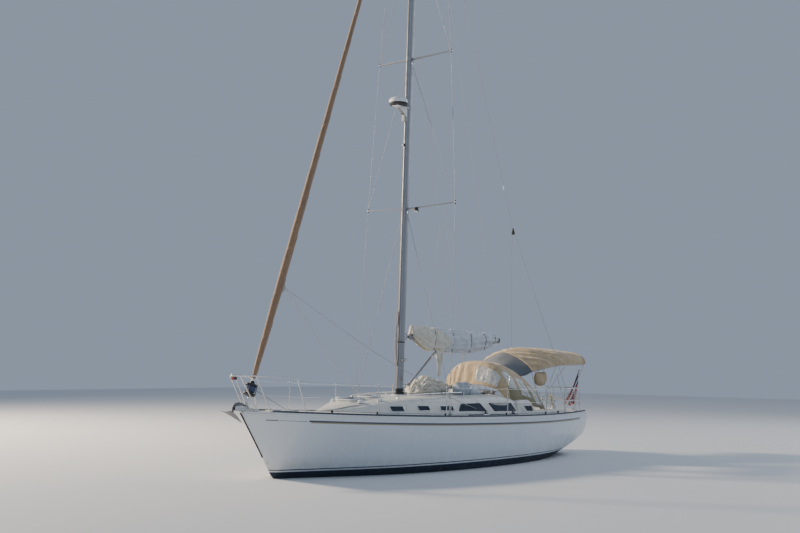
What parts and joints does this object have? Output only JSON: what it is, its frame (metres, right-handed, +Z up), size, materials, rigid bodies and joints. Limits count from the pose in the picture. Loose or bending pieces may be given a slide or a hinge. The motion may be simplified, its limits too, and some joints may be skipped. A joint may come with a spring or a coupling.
{
  "type": "cruising sailing yacht",
  "caption": "Masthead cruising sloop afloat: white hull with fin keel and spade rudder, three-spreader mast, furled headsail, flaked mainsail on the boom, dodger and bimini.",
  "frame": {"origin": "on the centreline at the waterline, about amidships", "axes": "+X forward to the bow, +Y to port, +Z up"},
  "size_m": [11.8224, 3.68, 18.162],
  "materials": {
    "gelcoat": "gloss gelcoat",
    "deck": "moulded deck",
    "antifoul": "matt antifouling",
    "glass": "dark acrylic",
    "steel": "polished stainless",
    "alloy": "satin anodised",
    "dark_alloy": "dark anodised",
    "galvanised": "weathered galvanised",
    "bronze": "dull bronze",
    "black": "black plastic",
    "tan_canvas": "woven acrylic",
    "grey_canvas": "woven acrylic in shade",
    "sailcloth": "polyester sailcloth",
    "cream": "crumpled cloth",
    "navy_canvas": "woven acrylic",
    "ensign": "striped flag cloth",
    "engine": "painted iron",
    "teak": "oiled teak"
  },
  "bodies": {
    "boat": {"hull": "gelcoat", "deck": "deck", "window_fwd_port": "glass", "window_fwd_stbd": "glass", "window_aft_port": "glass", "window_aft_stbd": "glass", "keel": "antifoul", "shaft_strut": "bronze", "cabin_sole": "teak", "engine": "engine", "toe_rail_port": "dark_alloy", "toe_rail_stbd": "dark_alloy", "stem_fitting": "steel", "anchor": "galvanised", "pulpit": "steel", "pushpit": "steel", "lifelines_port": "steel", "lifelines_stbd": "steel", "handrail_port": "steel", "handrail_stbd": "steel", "steering_pedestal": "gelcoat", "mast": "alloy", "spreaders_lower": "alloy", "spreaders_mid": "alloy", "spreaders_upper": "alloy", "shrouds_port": "steel", "shrouds_stbd": "steel", "forestay": "steel", "backstay": "steel", "radome": "gelcoat", "dodger_cloth": "tan_canvas", "bimini_cloth": "tan_canvas", "link_cloth": "grey_canvas", "bimini_frame": "dark_alloy", "ensign": "ensign", "sail_heap": "cream", "sail_bag": "navy_canvas"},
    "rudder": {"rudder": "antifoul"},
    "wheel": {"steering_wheel": "steel"},
    "propeller": {"propeller": "bronze"},
    "boom": {"boom": "alloy", "vang": "alloy", "mainsail_flaked": "sailcloth"},
    "furler": {"genoa_furled": "tan_canvas", "furler_drum": "black"},
    "fore_hatch": {"fore_hatch_lid": "gelcoat"},
    "mid_hatch": {"mid_hatch_lid": "gelcoat"},
    "anchor_locker": {"anchor_locker_lid": "deck"},
    "companionway": {"companionway_hatch": "gelcoat"},
    "locker_port": {"locker_lid_port": "deck"},
    "locker_stbd": {"locker_lid_stbd": "deck"},
    "winch_drum_port": {"winch_port": "steel"},
    "winch_drum_stbd": {"winch_stbd": "steel"}
  },
  "joints": [
    {"name": "rudder_turn", "type": "hinge", "parent": "boat", "child": "rudder", "pos_m": [-4.25, 0, 0], "axis": [0, 0, 1], "range_deg": [-35, 35]},
    {"name": "wheel_turn", "type": "hinge", "parent": "boat", "child": "wheel", "pos_m": [-3.96, 0, 1.25], "axis": [1, 0, 0], "range_deg": [-270, 270]},
    {"name": "propeller_spin", "type": "hinge", "parent": "boat", "child": "propeller", "pos_m": [-3.63, 0, -0.56], "axis": [-0.9799, 0, -0.1996], "continuous": true},
    {"name": "boom_swing", "type": "hinge", "parent": "boat", "child": "boom", "pos_m": [0.66, 0, 2.96], "axis": [0, 0, 1], "range_deg": [-75, 75]},
    {"name": "furler_turn", "type": "hinge", "parent": "boat", "child": "furler", "pos_m": [5.56, 0, 1.5], "axis": [-0.3231, 0, 0.9463], "continuous": true},
    {"name": "fore_hatch_lift", "type": "hinge", "parent": "boat", "child": "fore_hatch", "pos_m": [2.77, 0, 1.526], "axis": [0, 1, 0], "range_deg": [0, 95]},
    {"name": "mid_hatch_lift", "type": "hinge", "parent": "boat", "child": "mid_hatch", "pos_m": [2.12, 0, 1.585], "axis": [0, 1, 0], "range_deg": [0, 95]},
    {"name": "anchor_locker_lift", "type": "hinge", "parent": "boat", "child": "anchor_locker", "pos_m": [4.308, 0, 1.36], "axis": [0, -1, 0], "range_deg": [0, 100]},
    {"name": "companionway_slide", "type": "slide", "parent": "boat", "child": "companionway", "axis": [1, 0, 0], "range_m": [0, 0.6]},
    {"name": "locker_port_lift", "type": "hinge", "parent": "boat", "child": "locker_port", "pos_m": [-3.23, 0.87, 0.822], "axis": [-1, 0, 0], "range_deg": [0, 75]},
    {"name": "locker_stbd_lift", "type": "hinge", "parent": "boat", "child": "locker_stbd", "pos_m": [-3.23, -0.87, 0.822], "axis": [1, 0, 0], "range_deg": [0, 75]},
    {"name": "winch_port_spin", "type": "hinge", "parent": "boat", "child": "winch_drum_port", "pos_m": [-4.2, 0.985, 1.31], "axis": [0, 0, 1], "continuous": true},
    {"name": "winch_stbd_spin", "type": "hinge", "parent": "boat", "child": "winch_drum_stbd", "pos_m": [-4.2, -0.985, 1.31], "axis": [0, 0, 1], "continuous": true}
  ],
  "couplings": [
    {"joint": "wheel_turn", "follows": "rudder_turn", "ratio": 7.7}
  ]
}
